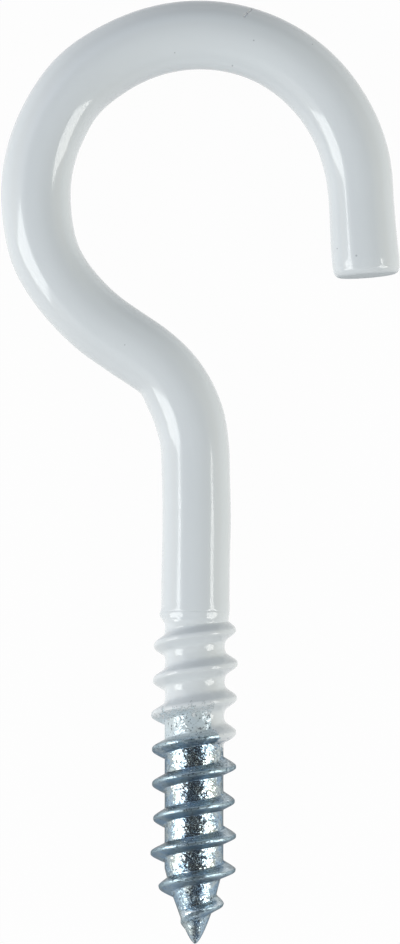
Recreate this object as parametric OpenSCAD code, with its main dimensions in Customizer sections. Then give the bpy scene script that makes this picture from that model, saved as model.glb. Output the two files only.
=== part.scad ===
// Screw hook: one length of round steel wire, bent cold to an open round hook at one end and
// rolled to a coarse right-hand wood-screw thread with a sharp point at the other. The hook, the
// shank and the first turns of the thread carry a thick, smooth white coating.
//
// The hook lies flat: X runs across the hook towards its open side, Y runs along the screw axis
// from the point towards the hook, and Z is up. The origin is on the screw axis, at the shoulder
// where the plain shank meets the thread. At the sizes below it is 80 mm long overall.

/* [Wire and hook] */
// Diameter of the coated wire
wire_d = 5.8; // [5.4:0.1:6.4]
// Radius of the hook's round, to the middle of the wire
ring_r = 13.8; // [12:0.1:16]
// How far round the hook bends
ring_angle = 233.5; // [220:0.5:240]
// Length of the straight end of the hook
end_len = 7.7; // [5:0.1:10]
// Rounding of the cut end's edge
end_edge_r = 0.5; // [0.2:0.1:0.8]

/* [Neck and shank] */
// Length of the plain shank, from the shoulder to the neck
shank_len = 13.3; // [8:0.1:30]
// Radius of the neck's bend, to the middle of the wire
neck_r = 10.85; // [9:0.05:13]
// How far the neck bends to the side
neck_angle = 58; // [52:0.5:64]
// Length of the straight between the neck and the hook's round
lead_len = 2.3; // [1:0.05:4]

/* [Thread] */
// Length of the thread, from the shoulder to the point
thread_len = 28.1; // [20:0.1:45]
// Distance between neighbouring turns
pitch = 2.92; // [2.7:0.02:3.4]
// Diameter over the crests
crest_d = 7.15; // [6.6:0.05:7.6]
// Diameter at the root
root_d = 5; // [4.6:0.05:5.2]
// Angle of each flank to a flat cut across the screw
flank_angle = 30; // [26:1:33]
// Radius of the crest
crest_round = 0.15; // [0.1:0.01:0.2]
// Radius of the fillet at the root
root_round = 0.35; // [0.2:0.01:0.45]

/* [Point] */
// Length of the tapered point
point_len = 6.4; // [5:0.1:9]
// Radius of the very tip
tip_round = 0.3; // [0.2:0.05:0.4]

/* [Hidden] */
$fn = 96;

wire_r = wire_d / 2;
root_r = root_d / 2;
crest_r = crest_d / 2;
crest_h = crest_r - root_r;

// The shoulder: a short taper from the wire down to the root of the thread.
shoulder_len = 0.75;

// The crest stands at this height on the open side of the hook, half a turn below the shoulder.
first_crest = 1.44;

// How far the thread's own body reaches up inside the shank.
bury = 1.1;

// The thread fades out over this length, which ends this far short of the very tip.
fade_len = 1.6;
fade_stop = 1.4;

// Columns round the screw.
cols = 48;

// ---- one turn of the thread, cut along the axis ----

// Crest, flank and fillet all meet smoothly: root_reach is where the fillet runs out on the root.
flank_turn = 90 - flank_angle;
root_reach = (crest_round + root_round) * cos(flank_angle)
    + (crest_h - (crest_round + root_round) * (1 - sin(flank_angle))) * tan(flank_angle);

// Each entry is the distance from the crest along the screw and the height above the root.
half_turn = [
    for (a = [0, 1]) [crest_round * sin(a * flank_turn),
                      crest_h - crest_round * (1 - cos(a * flank_turn))],
    for (a = [1, 0.5, 0]) [root_reach - root_round * sin(a * flank_turn),
                           root_round * (1 - cos(a * flank_turn))],
];
one_turn = [
    for (i = [0 : len(half_turn) - 1]) half_turn[i],
    for (i = [len(half_turn) - 1 : -1 : 1]) [pitch - half_turn[i][0], half_turn[i][1]],
];
per_turn = len(one_turn);

// ---- how the thread changes along the screw (s is the distance below the shoulder) ----

// The root follows the core, then the point: a full, slightly bellied taper with a blunt tip.
function taper_r(d) = d <= 0 ? 0
    : max(root_r * pow(min(d / point_len, 1), 0.7),
          d < tip_round ? sqrt(d * (2 * tip_round - d)) : min(tip_round, root_r));
function root_at(s) = min(root_r, taper_r(thread_len - s));

// The first turn rises out of the shank; the last one dies away before the tip.
function rise(s) = let (u = max(0, min(1, s / pitch)), low = (wire_r - root_r) / crest_h)
    s < 0 ? max(0.1, low + s * 0.5) : low + (1 - low) * (1 - pow(1 - u, 2));
function fade(s) = max(0, min(1, (thread_len - s - fade_stop) / fade_len));
function thread_r(s, h) = root_at(s) + h * rise(s) * fade(s);

// ---- the threaded body ----

// Columns stand at equal angles. A row follows one line of the profile down the helix, so row
// j of the last column carries on as row j + per_turn of the first.
plain_tip = 1.2;
body_top = -bury;
body_end = thread_len - plain_tip;
first_s = first_crest - 0.75 * pitch - ceil((first_crest - 0.75 * pitch + bury) / pitch) * pitch - pitch;
turns = ceil((body_end - first_s) / pitch) + 1;
rows = turns * per_turn;

function row_s(i, j) = first_s + pitch * (floor(j / per_turn) + i / cols) + one_turn[j % per_turn][0];
function col_point(i, s, r) = let (a = -360 * i / cols) [r * sin(a), -s, r * cos(a)];

// The plain rings of the tip, as distances from the very end.
tip_rings = [plain_tip, 0.75, 0.45, tip_round, tip_round * 0.5, tip_round * 0.12];

top_at = cols * rows;
ring_at = top_at + cols;
top_mid = ring_at + cols * len(tip_rings);
apex = top_mid + 1;

// A row point above the top or below the plain tip is replaced by its column's end point.
function row_id(i, j) = i >= cols ? row_id(i - cols, j + per_turn)
    : j >= rows || row_s(i, j) >= body_end - 0.02 ? ring_at + i
    : row_s(i, j) <= body_top + 0.02 ? top_at + i
    : i * rows + j;

body_points = [
    for (i = [0 : cols - 1], j = [0 : rows - 1])
        let (s = row_s(i, j)) col_point(i, s, thread_r(s, one_turn[j % per_turn][1])),
    for (i = [0 : cols - 1]) col_point(i, body_top, root_r),
    for (d = tip_rings, i = [0 : cols - 1]) col_point(i, thread_len - d, taper_r(d)),
    [0, bury, 0],
    [0, -thread_len, 0],
];

function distinct(f) = f[0] != f[1] && f[1] != f[2] && f[2] != f[0];

body_faces = [
    for (i = [0 : cols - 1], j = [0 : rows - 1])
        let (a = row_id(i, j), b = row_id(i + 1, j), c = row_id(i + 1, j + 1), d = row_id(i, j + 1))
            for (f = [[a, b, c], [a, c, d]]) if (distinct(f)) f,
    for (k = [0 : len(tip_rings) - 2], i = [0 : cols - 1])
        let (a = ring_at + k * cols, n = (i + 1) % cols)
            for (f = [[a + i, a + n, a + cols + n], [a + i, a + cols + n, a + cols + i]]) f,
    for (i = [0 : cols - 1])
        [ring_at + (len(tip_rings) - 1) * cols + i, ring_at + (len(tip_rings) - 1) * cols + (i + 1) % cols, apex],
    for (i = [0 : cols - 1]) [top_at + (i + 1) % cols, top_at + i, top_mid],
];

module threaded_body() {
    polyhedron(points = body_points, faces = [for (f = body_faces) [f[2], f[1], f[0]]], convexity = 10);
}

// ---- the wire ----

// A sleeve a few thousandths proud of the wire ties two runs together where they meet.
module seam() {
    translate([0, -0.15, 0]) rotate([-90, 0, 0]) cylinder(r = wire_r + 0.005, h = 0.3);
}

// Each run starts at the origin and leaves it along Y.
module straight_run(l) {
    rotate([-90, 0, 0]) cylinder(r = wire_r, h = l);
}

module left_bend(r, angle) {
    translate([-r, 0, 0]) rotate_extrude(angle = angle) translate([r, 0]) circle(r = wire_r);
}

module right_bend(r, angle) {
    translate([r, 0, 0]) rotate([0, 0, 180 - angle])
        rotate_extrude(angle = angle) translate([r, 0]) circle(r = wire_r);
}

// The cut end, its edge rounded off.
module cut_end() {
    rotate([-90, 0, 0]) rotate_extrude() polygon([
        [0, 0], [wire_r, 0],
        for (a = [0 : 15 : 90]) [wire_r - end_edge_r * (1 - cos(a)), end_len - end_edge_r * (1 - sin(a))],
        [0, end_len],
    ]);
}

// The shank, with the shoulder at its lower end.
module shank() {
    rotate([-90, 0, 0]) rotate_extrude() polygon([
        [0, -shoulder_len], [root_r - 0.25, -shoulder_len], [root_r + 0.02, -shoulder_len * 0.8],
        [root_r + (wire_r - root_r) * 0.5, -shoulder_len * 0.32], [wire_r - 0.06, -0.06],
        [wire_r, 0.1], [wire_r, shank_len], [0, shank_len],
    ]);
}

module screw_hook() {
    color([0.86, 0.88, 0.9]) {
        threaded_body();
        shank();
        translate([0, shank_len, 0]) {
            seam();
            left_bend(neck_r, neck_angle);
            translate([-neck_r, 0, 0]) rotate([0, 0, neck_angle]) translate([neck_r, 0, 0]) {
                seam();
                straight_run(lead_len);
                translate([0, lead_len, 0]) {
                    seam();
                    right_bend(ring_r, ring_angle);
                    translate([ring_r, 0, 0]) rotate([0, 0, -ring_angle]) translate([-ring_r, 0, 0]) {
                        seam();
                        cut_end();
                    }
                }
            }
        }
    }
}

screw_hook();
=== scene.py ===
import math
import bpy
import numpy as np
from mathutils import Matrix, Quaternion, Vector


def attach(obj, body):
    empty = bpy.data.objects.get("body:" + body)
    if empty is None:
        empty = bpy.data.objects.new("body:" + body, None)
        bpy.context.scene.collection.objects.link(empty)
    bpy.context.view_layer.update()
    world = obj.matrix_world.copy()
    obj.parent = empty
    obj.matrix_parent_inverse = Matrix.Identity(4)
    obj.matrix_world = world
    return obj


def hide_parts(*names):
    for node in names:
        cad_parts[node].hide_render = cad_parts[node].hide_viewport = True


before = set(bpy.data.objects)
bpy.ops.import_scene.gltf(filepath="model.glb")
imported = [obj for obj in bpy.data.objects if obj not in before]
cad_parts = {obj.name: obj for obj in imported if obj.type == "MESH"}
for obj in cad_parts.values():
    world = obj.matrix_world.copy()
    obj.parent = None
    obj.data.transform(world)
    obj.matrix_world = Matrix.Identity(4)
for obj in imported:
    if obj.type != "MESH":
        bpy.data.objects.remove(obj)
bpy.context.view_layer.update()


# ==== Wire, thread and hook ====
# One length of zinc-plated steel wire. The point and the thread are cold-rolled into one end, the
# other end is bent round a mandrel to the open hook, and all but the lower thread is then dipped
# in a thick white coating, so it is made here as one skin from the point to the cut end.

mm = 0.001
columns = 80               # corners round the wire

wire_r = 2.91 * mm
shank_len = 13.36 * mm
neck_r = 10.75 * mm        # to the middle of the wire, as ring_r is
neck_turn = math.radians(58)
lead_len = 2.35 * mm
ring_r = 13.77 * mm
ring_turn = math.radians(233.5)
end_len = 7.88 * mm
end_edge_r = 0.6 * mm

thread_len = 28.1 * mm
turn = 2.922 * mm          # the screw's lead, one ridge a turn
core_r = 2.49 * mm
crest_r = 3.565 * mm
first_crest = 1.44 * mm    # where the ridge passes the hook's open side first
crest_land = 0.08 * mm     # half the narrow flat that rolling leaves on the crest
last_slip = 0.3 * mm       # how far the last turn lies below its place
slip_from, slip_to = 25.2 * mm, 26.2 * mm
point_len = 6.4 * mm
point_swell = 0.66         # below 1 the taper bellies out
nose_r = 0.3 * mm
ridge_ends = 0.9 * mm      # from the tip: where the ridge has died away
ridge_full = 3.5 * mm      # and where it is still whole
row = turn / columns       # so that each row's corner lies on the same line of the ridge
rows_above = 16            # rings above the shoulder
rows_below = int(round(thread_len / row))
joint_y = rows_above * row # where the plain wire meets the rolled length

# The plain wire is drawn on from its lower end, then bent to the neck and to the hook's round.
bpy.ops.object.select_all(action="DESELECT")
bpy.ops.mesh.primitive_circle_add(vertices=columns, radius=wire_r, rotation=(math.pi / 2, 0, 0),
                                  location=(0, joint_y, 0))
hook = bpy.context.object
hook.name = hook.data.name = "screw_hook_wire"
bpy.ops.object.transform_apply(location=True, rotation=True, scale=True)
bpy.ops.object.mode_set(mode="EDIT")
bpy.ops.mesh.select_mode(type="VERT")
bpy.ops.mesh.select_all(action="SELECT")


def draw_on(length, heading, steps):
    for _ in range(steps):
        bpy.ops.mesh.extrude_region_move(TRANSFORM_OT_translate={
            "value": (math.cos(heading) * length / steps, math.sin(heading) * length / steps, 0)})


heading = math.pi / 2
draw_on(shank_len - joint_y, heading, 24)
bpy.ops.mesh.spin(steps=20, angle=-neck_turn, center=(-neck_r, shank_len, 0), axis=(0, 0, 1))
neck_end = np.array([-neck_r + neck_r * math.cos(neck_turn), shank_len + neck_r * math.sin(neck_turn)])
heading += neck_turn
draw_on(lead_len, heading, 4)
lead_end = neck_end + lead_len * np.array([math.cos(heading), math.sin(heading)])
ring_mid = lead_end + ring_r * np.array([math.sin(heading), -math.cos(heading)])
bpy.ops.mesh.spin(steps=104, angle=ring_turn, center=(ring_mid[0], ring_mid[1], 0), axis=(0, 0, 1))
heading -= ring_turn

# The last ring stands off the cut by more than the rounding of its edge.
last_ring = 0.7 * mm
close_rings = 0.8 * mm
draw_on(end_len - close_rings - last_ring, heading, 9)
draw_on(close_rings, heading, 6)
draw_on(last_ring, heading, 1)

# The cut end is sheared square and its edge tumbled round.
bpy.ops.mesh.edge_face_add()
bpy.ops.mesh.bevel(offset=end_edge_r, offset_type="OFFSET", segments=8, affect="EDGES")
bpy.ops.object.mode_set(mode="OBJECT")

# The rolled length starts as a tube in fine rings from just above the shoulder to the point.
bpy.ops.object.select_all(action="DESELECT")
bpy.ops.mesh.primitive_circle_add(vertices=columns, radius=core_r, rotation=(math.pi / 2, 0, 0),
                                  location=(0, joint_y, 0))
thread = bpy.context.object
bpy.ops.object.transform_apply(location=True, rotation=True, scale=True)
bpy.ops.object.mode_set(mode="EDIT")
bpy.ops.mesh.select_all(action="SELECT")
bpy.ops.mesh.extrude_region_move(TRANSFORM_OT_translate={"value": (0, -row, 0)})
bpy.ops.object.mode_set(mode="OBJECT")
rings = thread.modifiers.new("rings", "ARRAY")
rings.use_relative_offset = False
rings.use_constant_offset = True
rings.constant_offset_displace = (0, -row, 0)
rings.use_merge_vertices = True
rings.merge_threshold = row * 0.2
rings.count = rows_above + rows_below
bpy.ops.object.modifier_apply(modifier="rings")

# Each square is split along the ridge, which climbs one row a column.
bpy.ops.object.mode_set(mode="EDIT")
bpy.ops.mesh.select_all(action="SELECT")
bpy.ops.mesh.quads_convert_to_tris(quad_method="FIXED_ALTERNATE", ngon_method="BEAUTY")
bpy.ops.object.mode_set(mode="OBJECT")


def points(obj):
    co = np.empty(len(obj.data.vertices) * 3)
    obj.data.vertices.foreach_get("co", co)
    return co.reshape(-1, 3)


def step(x, a, b):
    u = np.clip((x - a) / (b - a), 0, 1)
    return u * u * (3 - 2 * u)


def bump(x, at, width):
    return np.exp(-((x - at) / width) ** 2)


# The hook was dipped at a slant: the coating ends high on its closed side and lower on the open
# side, with a step across the front of the thread.
coat_high = 8.95 * mm
coat_top = 8.3 * mm
coat_low = 11.2 * mm


def coat_end(a):
    """How far below the shoulder the coating ends, at angle a from the top round to the open side."""
    front = coat_high + (coat_top - coat_high) * step(a, -1.4, 0.3)
    front = front + (coat_low - coat_top) * step(a, 0.48, 0.66)
    return front + (coat_low - coat_high) * (1 - step(a, -math.pi, -1.8))


# Where rolling left the ridge a little tall or short: after how many turns, over how many, and by
# how many millimetres.
ridge_worn = [(0.5, 0.3, -0.09), (1.0, 0.3, 0.09), (2.5, 0.35, 0.09), (5.25, 0.45, -0.15),
              (6.5, 0.3, 0.12), (7.5, 0.3, -0.13), (8.0, 0.25, -0.24), (8.5, 0.25, -0.32)]


def ridge_at(a, s):
    """The ridge's height from 0 in the groove to 1 on the crest, and which side of the crest it is."""
    side, front = np.sin(a), np.clip(np.cos(a), 0, 1)
    bare = step(s - coat_end(a), -0.6 * mm, 0.6 * mm)
    way = s - first_crest - turn * (0.25 - a / (2 * math.pi)) - last_slip * step(s, slip_from, slip_to)
    sway = (0.11 - 0.02 * bare) * mm * np.cos(a)
    off_crest = (way + sway + turn / 2) % turn - turn / 2
    off_crest = off_crest - np.tanh(off_crest / crest_land) * crest_land

    # How far each flank runs out along the screw. The bare ridge's are shorter on the upper face.
    upper_run = (0.51 + (0.62 - 0.20 * front - 0.51) * bare) * mm
    lower_run = (0.49 + 0.08 * side + (0.01 - 0.08 * side - (0.09 - 0.03 * side) * front) * bare) * mm
    slim = 0.35 + 0.65 * step(thread_len - s, 1.5 * mm, 3.1 * mm)   # towards the point
    run = (np.where(off_crest < 0, upper_run, lower_run) - 0.04 * mm) * slim

    # A straight flank between two curves, both softer under the coating.
    crest_curve = 0.75 - 0.20 * front + (0.33 - 0.75 + 0.20 * front) * bare
    root_curve = 0.43 + (0.06 - 0.43) * bare
    g = 1 + crest_curve - np.sqrt((off_crest / run) ** 2 + crest_curve ** 2)
    return (g + np.sqrt(g * g + root_curve ** 2)) / (1 + np.sqrt(1 + root_curve ** 2)), off_crest / run


def thread_skin(a, s):
    """Distance from the axis, at angle a from the top round to the open side, s below the shoulder."""
    side = np.sin(a)
    ridge = ridge_at(a, s)[0]
    to_tip = np.clip(thread_len - s, 1e-9, None)
    core = core_r * np.clip(to_tip / point_len, 0, 1) ** point_swell
    nose = np.sqrt(np.clip(to_tip * (2 * nose_r - to_tip), 0, None))
    core = np.where(to_tip < nose_r, np.minimum(core, nose), core)
    climb = step(s, -1.6 * mm, 2.0 * mm)
    fade = step(to_tip, ridge_ends, ridge_full)
    nth = np.round((s - first_crest) / turn - 0.25 + a / (2 * math.pi)) + 0.25 - a / (2 * math.pi)
    worn = sum(by * mm * bump(nth, at, spread) for at, spread, by in ridge_worn)
    r = core + (crest_r - core_r + worn) * ridge * climb * fade

    # The shoulder: a lip on the hook's closed side, then a slope down to the core. The ridge starts
    # out of that slope, and the coating rounds the corner between them.
    closed = step(-side, 0.6, 1.0)
    shank = wire_r + 0.13 * mm * bump(s, 0.25 * mm, 0.32 * mm) * closed
    shank = shank - 0.06 * mm * step(s, 0, 0.6 * mm) * (1 - closed)
    drop = (0.58 - 0.25 * side * np.cos(a) - 0.33 * closed) * mm
    shank = shank + (core_r - shank) * step(s, drop, drop + 1.0 * mm)
    corner = 0.09 * mm
    rounded = 0.5 * (r + shank + np.sqrt((r - shank) ** 2 + corner ** 2) - 0.02 * mm)
    r = np.where(s < 2 * mm, rounded, r)
    r = np.where(s < 0, np.maximum(wire_r, r), r)

    # a broken crease where the shank meets the shoulder
    deep = bump(a, -0.62, 0.22) + bump(a, 0.0, 0.09) + bump(a, 0.55, 0.16) + bump(abs(a), 2.6, 0.5)
    crease = (0.010 + 0.026 * deep) * mm
    return r - crease * bump(s, 0.02 * mm * np.cos(3 * a), 0.06 * mm)


co = points(thread)
a = np.arctan2(co[:, 0], co[:, 2])
s = -co[:, 1]
r = thread_skin(a, s)
r = np.where(s > thread_len - 0.5 * row, 0, np.where(s < -joint_y + 0.5 * row, wire_r, r))
# the rolled length leans a hair to the closed side, and its point back
lean = (-0.05 * step(s, -0.55 * mm, 1.5 * mm) - 0.06 * step(s, 7 * mm, 10 * mm)
        + 0.10 * step(s, 23 * mm, 25.5 * mm)) * mm
co[:, 0] = r * np.sin(a) + lean
co[:, 2] = r * np.cos(a)
thread.data.vertices.foreach_set("co", co.ravel())

# The two lengths become one skin, closed at the joint and at the point.
bpy.ops.object.select_all(action="DESELECT")
thread.select_set(True)
hook.select_set(True)
bpy.context.view_layer.objects.active = hook
bpy.ops.object.join()
bpy.ops.object.mode_set(mode="EDIT")
bpy.ops.mesh.select_all(action="SELECT")
bpy.ops.mesh.remove_doubles(threshold=0.002 * mm)
bpy.ops.mesh.normals_make_consistent(inside=False)
bpy.ops.mesh.select_all(action="DESELECT")
bpy.ops.object.mode_set(mode="OBJECT")
bpy.ops.object.shade_smooth()

# The bender's rollers left the wire a little thick or thin in places, on its left or its right
# side looking towards the cut end: how far along the wire, over what length, and by how much, all
# in millimetres.
left_side = [(8.0, 3.5, -0.10), (17.0, 3.0, 0.12), (20.9, 0.9, -0.20), (24.2, 1.6, 0.10),
             (30.0, 2.2, -0.09), (35.6, 2.0, 0.14), (44.5, 10.0, 0.19), (51.3, 2.8, 0.17),
             (66.0, 9.0, 0.08), (76.5, 3.0, -0.05), (85.5, 4.5, -0.14)]
right_side = [(8.0, 3.0, 0.10), (14.5, 1.2, -0.05), (23.5, 3.0, -0.13), (35.0, 3.0, -0.19),
              (44.0, 4.0, -0.07), (50.0, 2.5, -0.17), (68.0, 5.0, -0.07), (84.0, 2.5, -0.13)]

co = points(hook)
flat = co[:, :2]
above = flat[:, 1] > shank_len
place = flat[:, 1].copy()
right = np.tile([1.0, 0.0], (len(co), 1))
off = flat[:, 0].copy()

# the neck's bend
from_neck = flat - [-neck_r, shank_len]
turned = np.arctan2(from_neck[:, 1], from_neck[:, 0])
reach = np.hypot(*from_neck.T)
in_neck = above & (turned < neck_turn) & (reach < neck_r * 1.5)
place[in_neck] = (shank_len + neck_r * turned)[in_neck]
off[in_neck] = (reach - neck_r)[in_neck]
right[in_neck] = (from_neck / reach[:, None])[in_neck]

# the short straight lead
lead = (lead_end - neck_end) / lead_len
on = (flat - neck_end) @ lead
beside = (flat - neck_end) @ np.array([lead[1], -lead[0]])
in_lead = above & ~in_neck & (on > -1e-6) & (on < lead_len) & (abs(beside) < 2 * wire_r)
place[in_lead] = (shank_len + neck_r * neck_turn + on)[in_lead]
off[in_lead] = beside[in_lead]
right[in_lead] = [lead[1], -lead[0]]

# the hook's round
to_mid = ring_mid - flat
start = math.atan2(*(lead_end - ring_mid)[::-1])
back = (start - np.arctan2(-to_mid[:, 1], -to_mid[:, 0])) % (2 * math.pi)
out = np.hypot(*to_mid.T)
in_ring = above & ~in_neck & ~in_lead & (back < ring_turn + 1e-9)
place[in_ring] = (shank_len + neck_r * neck_turn + lead_len + ring_r * back)[in_ring]
off[in_ring] = (ring_r - out)[in_ring]
right[in_ring] = (to_mid / out[:, None])[in_ring]

# the straight end
tail = ring_mid + ring_r * np.array([math.cos(start - ring_turn), math.sin(start - ring_turn)])
ahead = np.array([math.cos(heading), math.sin(heading)])
on = (flat - tail) @ ahead
beside = (flat - tail) @ np.array([ahead[1], -ahead[0]])
in_end = above & (on > 1e-9) & (abs(beside) < 1.5 * wire_r) & (flat[:, 0] > 0)
place[in_end] = (shank_len + neck_r * neck_turn + lead_len + ring_r * ring_turn + on)[in_end]
off[in_end] = beside[in_end]
right[in_end] = [ahead[1], -ahead[0]]

round_off = 2.2            # how fast a swelling dies away from its side of the wire
grown = np.zeros(len(co))
for at, spread, by in left_side:
    grown -= by * mm * bump(place / mm, at, spread) * np.clip(-off / wire_r, 0, 1) ** round_off
for at, spread, by in right_side:
    grown += by * mm * bump(place / mm, at, spread) * np.clip(off / wire_r, 0, 1) ** round_off

# the coating thins a little just before the cut
near_cut = in_end * step(on, end_len - 1.3 * mm, end_len - 0.6 * mm)
grown -= 0.045 * mm * near_cut * off / wire_r
grown[flat[:, 1] < -0.5 * row] = 0
co[:, :2] += right * grown[:, None]
co[:, 2] *= 1 - 0.0155 * near_cut
hook.data.vertices.foreach_set("co", co.ravel())

# Kept on the mesh for the finish: how far each point lies below the coating's edge in millimetres,
# whether the thin film of coating reaches it, whether it is on the cut, and where on the ridge it
# is, 1 on the crest and +1 or -1 on the lower or the upper flank.
a = np.arctan2(co[:, 0], co[:, 2])
s = -co[:, 1]
ridge, flank_way = ridge_at(a, s)
rolled = (s > 0) * step(thread_len - s, ridge_ends, ridge_full)
flank = rolled * np.sign(flank_way) * step(ridge, 0.03, 0.25) * (1 - step(ridge, 0.88, 0.98))
film_end = 1 - step(s + turn * a / (2 * math.pi), 10.3 * mm, 10.8 * mm)
for name, value in (("below_coat", (s - coat_end(a)) / mm), ("thin_coat", film_end),
                    ("on_cut", in_end * step(on, end_len - 0.3 * mm, end_len - 0.02 * mm)),
                    ("on_crest", rolled * step(ridge, 0.90, 0.995)), ("on_flank", flank)):
    hook.data.attributes.new(name, "FLOAT", "POINT").data.foreach_set("value", value)

coating = bpy.data.materials.new("white_coating_over_zinc")
coating.use_nodes = True
nodes, links = coating.node_tree.nodes, coating.node_tree.links
skin = nodes["Principled BSDF"]
place = nodes.new("ShaderNodeTexCoord").outputs["Object"]


def feed(socket, x):
    if hasattr(x, "is_linked"):
        links.new(x, socket)
    elif isinstance(x, tuple):
        socket.default_value = (*x, 1) if len(socket.default_value) == 4 else x
    else:
        socket.default_value = x


def stored(name):
    n = nodes.new("ShaderNodeAttribute")
    n.attribute_name = name
    return n.outputs["Fac"]


def grain(scale, detail, rough=0.55):
    n = nodes.new("ShaderNodeTexNoise")
    for name, x in (("Scale", scale), ("Detail", detail), ("Roughness", rough), ("Vector", place)):
        feed(n.inputs[name], x)
    return n.outputs["Fac"]


def calc(how, a, b=0.0, clamp=False):
    n = nodes.new("ShaderNodeMath")
    n.operation = how
    n.use_clamp = clamp
    feed(n.inputs[0], a)
    feed(n.inputs[1], b)
    return n.outputs[0]


def vector(how, a, b):
    n = nodes.new("ShaderNodeVectorMath")
    n.operation = how
    feed(n.inputs[0], a)
    feed(n.inputs[1], b)
    return n.outputs["Value" if how in ("DOT_PRODUCT", "DISTANCE") else "Vector"]


def between(x, low, high):
    """0 below low and 1 above high, eased."""
    n = nodes.new("ShaderNodeMapRange")
    n.interpolation_type = "SMOOTHSTEP"
    feed(n.inputs["Value"], x)
    n.inputs["From Min"].default_value, n.inputs["From Max"].default_value = low, high
    return n.outputs["Result"]


def mixed(share, a, b):
    n = nodes.new("ShaderNodeMix")
    colour = isinstance(a, tuple) or isinstance(b, tuple) or getattr(a, "type", "") == "RGBA"
    n.data_type = "RGBA" if colour else "FLOAT"
    feed(n.inputs[0], share)
    feed(n.inputs[6 if colour else 2], a)
    feed(n.inputs[7 if colour else 3], b)
    return n.outputs[2 if colour else 0]


# The coating's edge is ragged and stippled, with dirt along it.
below, crest, flank = stored("below_coat"), stored("on_crest"), stored("on_flank")
ragged = calc("MULTIPLY", calc("SUBTRACT", grain(1000, 1), 0.5), 1.6)
stipple = calc("MULTIPLY", calc("SUBTRACT", grain(4200, 3, 0.6), 0.5), 3.6)
edge = calc("ADD", below, calc("ADD", ragged, stipple))
bare = between(edge, -0.10, 0.10)
dirt = calc("MULTIPLY", between(edge, -0.45, -0.05), calc("SUBTRACT", 1.0, between(edge, 0.05, 0.7)))
dirt = calc("MULTIPLY", dirt, between(grain(6000, 2), 0.46, 0.56))

coat_dull, coat_white = (0.612, 0.650, 0.679), (0.632, 0.670, 0.699)
dirt_grey, dust_grey = (0.10, 0.13, 0.15), (0.16, 0.18, 0.21)
coat_colour = mixed(grain(260, 3), coat_dull, coat_white)
coat_colour = mixed(calc("MULTIPLY", dirt, 0.55), coat_colour, dirt_grey)

# A few specks of dust are baked into the coating, and the bender nicked it near the hook's top.
# Each speck has its place on the flat hook and its size in millimetres.
dust = [(4.9, 48.4, 0.10), (3.1, 46.4, 0.10), (-1.8, 47.4, 0.08), (9.9, 48.2, 0.08),
        (13.6, 30.1, 0.12), (12.0, 30.8, 0.08), (-6.0, 22.5, 0.08)]
flat_on = vector("MULTIPLY", place, (1.0, 1.0, 0.0))
for x, y, size in dust:
    apart = vector("DISTANCE", flat_on, (x * mm, y * mm, 0.0))
    near = calc("SUBTRACT", 1.0, between(apart, 0.3 * size * mm, size * mm))
    coat_colour = mixed(calc("MULTIPLY", near, 0.5), coat_colour, dust_grey)

nick_depth = 0.12 * mm
from_nick = vector("SUBTRACT", flat_on, (4.4 * mm, 50.9 * mm, 0.0))
along = calc("ABSOLUTE", vector("DOT_PRODUCT", from_nick, (-0.65, -0.76, 0.0)))
across = calc("ABSOLUTE", vector("DOT_PRODUCT", from_nick, (0.76, -0.65, 0.0)))
nick_ends = calc("SUBTRACT", between(along, 0.02 * mm, 0.12 * mm), between(along, 0.45 * mm, 0.60 * mm))
nick = calc("MULTIPLY", calc("SUBTRACT", 1.0, between(across, 0.03 * mm, 0.15 * mm)), nick_ends)

# Bare zinc: crystals a fraction of a millimetre across, each tilted its own way, on a skin that
# turns from blue to straw. The ridge's lower flank gets painted shade in a darker blue, and its upper
# flank painted light in a paler tint.
zinc_blue, zinc_straw = (0.34, 0.46, 0.57), (0.45, 0.52, 0.54)
lower_flank_painted_shade, upper_flank_painted_light, crest_grey = (0.17, 0.26, 0.38), (0.72, 0.81, 0.86), (0.33, 0.43, 0.49)
film_white, speck_black = (0.62, 0.70, 0.74), (0.05, 0.06, 0.08)

crystals = nodes.new("ShaderNodeTexVoronoi")
feed(crystals.inputs["Scale"], 6500.0)
feed(crystals.inputs["Vector"], place)
tilt = vector("SUBTRACT", crystals.outputs["Color"], (0.5, 0.5, 0.5))
facet = vector("DOT_PRODUCT", vector("SUBTRACT", place, crystals.outputs["Position"]), tilt)
lower = between(flank, 0.1, 0.8)
upper = between(flank, -0.1, -0.8)
zinc = mixed(between(grain(900, 3), 0.38, 0.62), zinc_blue, zinc_straw)
# painted shade: the lower flank is tinted a darker blue
zinc = mixed(calc("MULTIPLY", lower, 0.35), zinc, lower_flank_painted_shade)
# painted light: the upper flank is tinted paler
zinc = mixed(calc("MULTIPLY", upper, 0.7), zinc, upper_flank_painted_light)
zinc = mixed(crest, zinc, crest_grey)

# The turn below the coating keeps a thin film of it, and the next ridge a few flecks and some dirt.
near_coat = calc("SUBTRACT", 1.0, between(below, 2.4, 3.8))
flecks = calc("MULTIPLY", near_coat, between(grain(3800, 3, 0.6), 0.55, 0.60))
film = calc("MAXIMUM", stored("thin_coat"), calc("MULTIPLY", flecks, 0.7))
zinc = mixed(calc("MULTIPLY", film, 0.75), zinc, film_white)
dirty = calc("MAXIMUM", calc("MULTIPLY", crest, 0.06), calc("MULTIPLY", near_coat, 0.035))
specks = between(calc("ADD", grain(5200, 2), dirty), 0.63, 0.69)
zinc = mixed(calc("MULTIPLY", specks, 0.8), zinc, speck_black)

feed(skin.inputs["Base Color"], mixed(bare, coat_colour, zinc))
feed(skin.inputs["Metallic"], calc("MULTIPLY", bare, calc("SUBTRACT", 1.0, calc("MULTIPLY", film, 0.8))))
feed(skin.inputs["IOR"], 1.4)
feed(skin.inputs["Specular Tint"], mixed(bare, (1.0, 1.0, 1.0), (0.3, 0.3, 0.3)))
cut = stored("on_cut")
coat_gloss = mixed(cut, 0.10, 0.55)
zinc_gloss = mixed(calc("MAXIMUM", lower, crest), 0.23, 0.38)
feed(skin.inputs["Specular IOR Level"], mixed(cut, 0.5, 0.0))
feed(skin.inputs["Roughness"], mixed(bare, coat_gloss, zinc_gloss))

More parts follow.
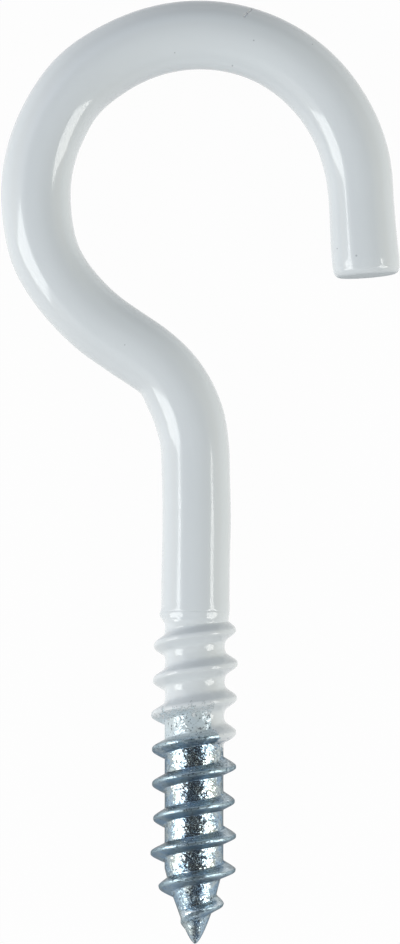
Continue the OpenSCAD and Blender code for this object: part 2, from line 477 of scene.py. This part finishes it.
# Relief: crystals and pits on the zinc, less on the ridge, and a slight orange peel on the coating.
on_ridge = calc("MAXIMUM", calc("MAXIMUM", lower, upper), crest)
even = calc("SUBTRACT", 1.0, calc("MULTIPLY", on_ridge, 0.35))
pitted = calc("MULTIPLY", calc("ADD", calc("MULTIPLY", facet, mixed(film, 0.27, 0.22)),
                               calc("MULTIPLY", grain(1600, 3, 0.6), 0.08 * mm)), even)
peel = calc("ADD", calc("MULTIPLY", grain(700, 2), 0.003 * mm), 0.02 * mm)
peel = calc("SUBTRACT", peel, calc("MULTIPLY", nick, nick_depth))
relief = nodes.new("ShaderNodeBump")
feed(relief.inputs["Distance"], 1.0)
feed(relief.inputs["Strength"], 1.0)
feed(relief.inputs["Height"], mixed(bare, peel, pitted))
feed(skin.inputs["Normal"], relief.outputs["Normal"])

hook.data.materials.append(coating)
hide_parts("screw_hook")
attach(hook, "root")


# ==== Table, lamps and camera ====
# The hook lies on a plain white table between two soft boxes set low at its sides, under a dark
# ceiling, with the camera looking straight down on it.

table_top = -3.6 * mm
bpy.ops.mesh.primitive_plane_add(size=3.0, location=(0, 0, table_top))
table = bpy.context.object
table.name = "table"
paper = bpy.data.materials.new("white_table")
paper.use_nodes = True
nodes, links = paper.node_tree.nodes, paper.node_tree.links
matt = nodes["Principled BSDF"]
matt.inputs["Base Color"].default_value = (0.45, 0.45, 0.45, 1)
matt.inputs["Roughness"].default_value = 0.9
glow = nodes.new("ShaderNodeEmission")
glow.inputs["Strength"].default_value = 1.0
rays = nodes.new("ShaderNodeLightPath").outputs
seen = calc("MAXIMUM", rays["Is Camera Ray"], rays["Is Glossy Ray"])
seen = calc("MAXIMUM", seen, rays["Is Transmission Ray"])
white_share = 0.975        # the rest keeps the hook's shadow
white_where_seen = nodes.new("ShaderNodeMixShader")
links.new(calc("MULTIPLY", seen, white_share), white_where_seen.inputs[0])
links.new(matt.outputs[0], white_where_seen.inputs[1])
links.new(glow.outputs[0], white_where_seen.inputs[2])
links.new(white_where_seen.outputs[0], nodes["Material Output"].inputs["Surface"])
table.data.materials.append(paper)


hook_middle = Vector((0, 12 * mm, 0))


def soft_box(name, azimuth, height, wide, tall, roll, power, colour):
    """A soft box that faces the hook from 0.6 m away."""
    lamp = bpy.data.lights.new(name, "AREA")
    lamp.shape = "RECTANGLE"
    lamp.size, lamp.size_y = wide, tall
    lamp.energy = power
    lamp.color = colour
    box = bpy.data.objects.new(name, lamp)
    bpy.context.collection.objects.link(box)
    az, el = math.radians(azimuth), math.radians(height)
    out = Vector((math.cos(el) * math.cos(az), math.cos(el) * math.sin(az), math.sin(el)))
    box.location = hook_middle + 0.6 * out
    aim = (-out).to_track_quat("-Z", "Y") @ Quaternion((0, 0, 1), math.radians(roll))
    box.rotation_euler = aim.to_euler()


soft_box("left_box", 193.6, 25.1, 0.271, 0.355, 19, 2.0, (0.97, 1.0, 1.0))
soft_box("right_box", -15.9, 28.3, 0.297, 0.355, -24.6, 2.5, (1.0, 1.0, 0.965))

world = bpy.data.worlds.new("studio")
bpy.context.scene.world = world
world.use_nodes = True
nodes, links = world.node_tree.nodes, world.node_tree.links
way = nodes.new("ShaderNodeTexCoord").outputs["Generated"]
parts = nodes.new("ShaderNodeSeparateXYZ")
links.new(way, parts.inputs[0])


def wall(side, height, focus, colour):
    """A soft glow from one side of the studio; a larger focus makes it narrower."""
    a, e = math.radians(side), math.radians(height)
    way_in = (math.cos(e) * math.cos(a), math.cos(e) * math.sin(a), math.sin(e))
    towards = calc("MAXIMUM", vector("DOT_PRODUCT", way, way_in), 0.0)
    n = nodes.new("ShaderNodeVectorMath")
    n.operation = "SCALE"
    n.inputs[0].default_value = colour
    links.new(calc("POWER", towards, focus), n.inputs["Scale"])
    return n.outputs[0]


walls = [(0, 15, 3, (0.64, 0.50, 0.28)), (45, 45, 6, (0.16, 0.16, 0.08)), (90, 45, 6, (0.50, 0.66, 0.79)),
         (135, 45, 6, (0.34, 0.38, 0.63)), (180, 45, 6, (0.92, 0.98, 1.07)),
         (213, 45, 6, (0.58, 0.63, 0.67)), (327, 45, 6, (0.02, 0.15, 0.34)),
         (225, 15, 8, (0.30, 0.32, 0.36)), (315, 15, 8, (0.16, 0.18, 0.20)),
         (45, 15, 8, (0.20, 0.22, 0.24))]
glow = wall(180, 15, 3, (1.08, 0.91, 0.61))
for side, height, focus, light in walls:
    glow = vector("ADD", glow, wall(side, height, focus, light))

# The walls' glow stops well short of the ceiling, which stays dark.
ceiling = (0.022, 0.024, 0.030)
low = nodes.new("ShaderNodeVectorMath")
low.operation = "SCALE"
links.new(glow, low.inputs[0])
links.new(calc("SUBTRACT", 1.0, between(parts.outputs["Z"], 0.60, 0.80)), low.inputs["Scale"])
links.new(vector("ADD", low.outputs[0], ceiling), nodes["Background"].inputs["Color"])
nodes["Background"].inputs["Strength"].default_value = 1.0

# The camera stands 0.55 m above the table and frames the hook from end to end.
camera = bpy.data.objects.new("camera", bpy.data.cameras.new("camera"))
bpy.context.collection.objects.link(camera)
bpy.context.scene.camera = camera
eye = Vector((0.4 * mm, -19.0 * mm, 0.55))
look = Vector((0.374 * mm, 11.893 * mm, 0))
gaze = look - eye
camera.location = eye
camera.rotation_euler = gaze.to_track_quat("-Z", "Y").to_euler()
film_height, field_height = 24, 80.193 * mm
camera.data.sensor_fit = "VERTICAL"
camera.data.sensor_height = film_height
camera.data.lens = film_height * gaze.length / field_height
camera.data.clip_start = 0.01
camera.data.clip_end = 10

bpy.context.scene.view_settings.view_transform = "Standard"
